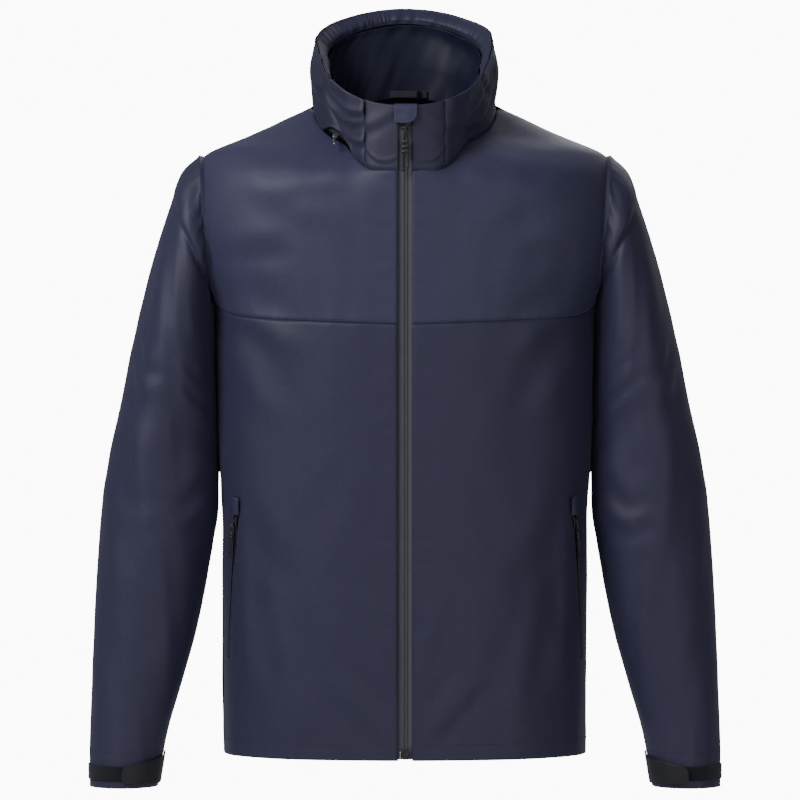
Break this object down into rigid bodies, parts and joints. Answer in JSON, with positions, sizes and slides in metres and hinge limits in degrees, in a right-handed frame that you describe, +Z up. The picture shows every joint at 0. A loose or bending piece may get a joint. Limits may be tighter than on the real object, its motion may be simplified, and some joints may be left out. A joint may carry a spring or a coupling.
{
  "type": "foul weather jacket",
  "caption": "Hip-length sailing jacket with a high collar holding a stowed hood, a full-length front zip, zipped hand pockets and cuffs closed by hook-and-loop tabs.",
  "frame": {"origin": "the inner face of the hanging loop at the back of the neck", "axes": "+Z up along the body, the front faces -Y, +X towards the wearer's left"},
  "size_m": [0.7254, 0.2932, 0.9019],
  "materials": {
    "shell_cloth": "satin",
    "lining_satin": "satin",
    "zip_tape": "matte",
    "black_plastic": "satin",
    "pull_cord": "matte",
    "hook_and_loop": "matte",
    "silver_metal": "satin"
  },
  "bodies": {
    "root": {"back_body": "shell_cloth", "back_hem_facing": "shell_cloth", "back_lining": "lining_satin", "back_yoke": "shell_cloth", "collar_lining": "lining_satin", "collar_outer": "shell_cloth", "collar_top_band": "shell_cloth", "hanger_loop": "shell_cloth", "hood_zip_chain": "black_plastic", "left_collar_front": "shell_cloth", "left_front_body": "shell_cloth", "left_front_lining": "lining_satin", "left_front_yoke": "shell_cloth", "left_hem_facing": "shell_cloth", "left_pocket_bag": "lining_satin", "left_pocket_zip_garage": "shell_cloth", "left_pocket_zip_tape": "zip_tape", "left_top_stop": "black_plastic", "left_zip_coil": "black_plastic", "left_zip_tape": "zip_tape", "right_collar_front": "shell_cloth", "right_front_body": "shell_cloth", "right_front_lining": "lining_satin", "right_front_yoke": "shell_cloth", "right_hem_facing": "shell_cloth", "right_pocket_bag": "lining_satin", "right_pocket_zip_garage": "shell_cloth", "right_pocket_zip_tape": "zip_tape", "right_top_stop": "black_plastic", "right_zip_coil": "black_plastic", "right_zip_tape": "zip_tape", "storm_flap": "shell_cloth", "stowed_hood": "shell_cloth", "zip_insertion_pin": "silver_metal", "zip_retainer_box": "black_plastic"},
    "main_slider": {"main_zip_slider": "black_plastic"},
    "main_pull": {"main_zip_pull_cord": "pull_cord", "main_zip_pull_grip": "black_plastic"},
    "left_pocket_slider": {"left_pocket_zip_slider": "black_plastic"},
    "right_pocket_slider": {"right_pocket_zip_slider": "black_plastic"},
    "left_pocket_pull": {"left_pocket_zip_pull": "black_plastic"},
    "right_pocket_pull": {"right_pocket_zip_pull": "black_plastic"},
    "hood_slider": {"hood_zip_slider": "black_plastic"},
    "hood_pull": {"hood_zip_pull": "silver_metal"},
    "chin_flap": {"chin_guard": "shell_cloth"},
    "left_arm": {"left_sleeve": "shell_cloth", "left_sleeve_lining": "lining_satin", "left_cuff_facing": "shell_cloth", "left_cuff_loop_strip": "hook_and_loop"},
    "left_tab": {"left_cuff_tab": "shell_cloth", "left_cuff_hook_patch": "hook_and_loop"},
    "right_arm": {"right_sleeve": "shell_cloth", "right_sleeve_lining": "lining_satin", "right_cuff_facing": "shell_cloth", "right_cuff_loop_strip": "hook_and_loop"},
    "right_tab": {"right_cuff_tab": "shell_cloth", "right_cuff_hook_patch": "hook_and_loop"}
  },
  "joints": [
    {"name": "main_zip_slide", "type": "slide", "parent": "root", "child": "main_slider", "axis": [0, 0, -1], "range_m": [0, 0.69]},
    {"name": "main_pull_swing", "type": "hinge", "parent": "main_slider", "child": "main_pull", "pos_m": [0, -0.1925, -0.052], "axis": [-1, 0, 0], "range_deg": [0, 140]},
    {"name": "chin_guard_fold", "type": "hinge", "parent": "root", "child": "chin_flap", "pos_m": [0, -0.1915, -0.0242], "axis": [-1, 0, 0], "range_deg": [0, 170]},
    {"name": "hood_zip_run", "type": "hinge", "parent": "root", "child": "hood_slider", "pos_m": [0, -0.0625, -0.01689], "axis": [0, 0.515, -0.8572], "range_deg": [0, 270]},
    {"name": "hood_pull_swing", "type": "hinge", "parent": "hood_slider", "child": "hood_pull", "pos_m": [-0.08002, -0.13626, -0.05497], "axis": [-1, 0, 0], "range_deg": [0, 80]},
    {"name": "left_pocket_zip_slide", "type": "slide", "parent": "root", "child": "left_pocket_slider", "axis": [0.0607, 0.1349, -0.989], "range_m": [0, 0.148]},
    {"name": "left_pocket_pull_swing", "type": "hinge", "parent": "left_pocket_slider", "child": "left_pocket_pull", "pos_m": [0.19733, -0.12488, -0.49855], "axis": [-0.4714, -0.8695, -0.1475], "range_deg": [0, 120]},
    {"name": "left_sleeve_lift", "type": "hinge", "parent": "root", "child": "left_arm", "pos_m": [0.236, -0.0505, -0.073], "axis": [0, -1, 0], "range_deg": [0, 60]},
    {"name": "left_cuff_tab_peel", "type": "hinge", "parent": "left_arm", "child": "left_tab", "pos_m": [0.27467, -0.08169, -0.7689], "axis": [0.1546, -0.1, -0.9829], "range_deg": [0, 90]},
    {"name": "right_pocket_zip_slide", "type": "slide", "parent": "root", "child": "right_pocket_slider", "axis": [-0.0607, 0.1349, -0.989], "range_m": [0, 0.148]},
    {"name": "right_pocket_pull_swing", "type": "hinge", "parent": "right_pocket_slider", "child": "right_pocket_pull", "pos_m": [-0.19733, -0.12488, -0.49855], "axis": [-0.4714, 0.8695, 0.1475], "range_deg": [0, 120]},
    {"name": "right_sleeve_lift", "type": "hinge", "parent": "root", "child": "right_arm", "pos_m": [-0.236, -0.0505, -0.073], "axis": [0, 1, 0], "range_deg": [0, 60]},
    {"name": "right_cuff_tab_peel", "type": "hinge", "parent": "right_arm", "child": "right_tab", "pos_m": [-0.27467, -0.08169, -0.7689], "axis": [0.1546, 0.1, 0.9829], "range_deg": [0, 90]}
  ]
}
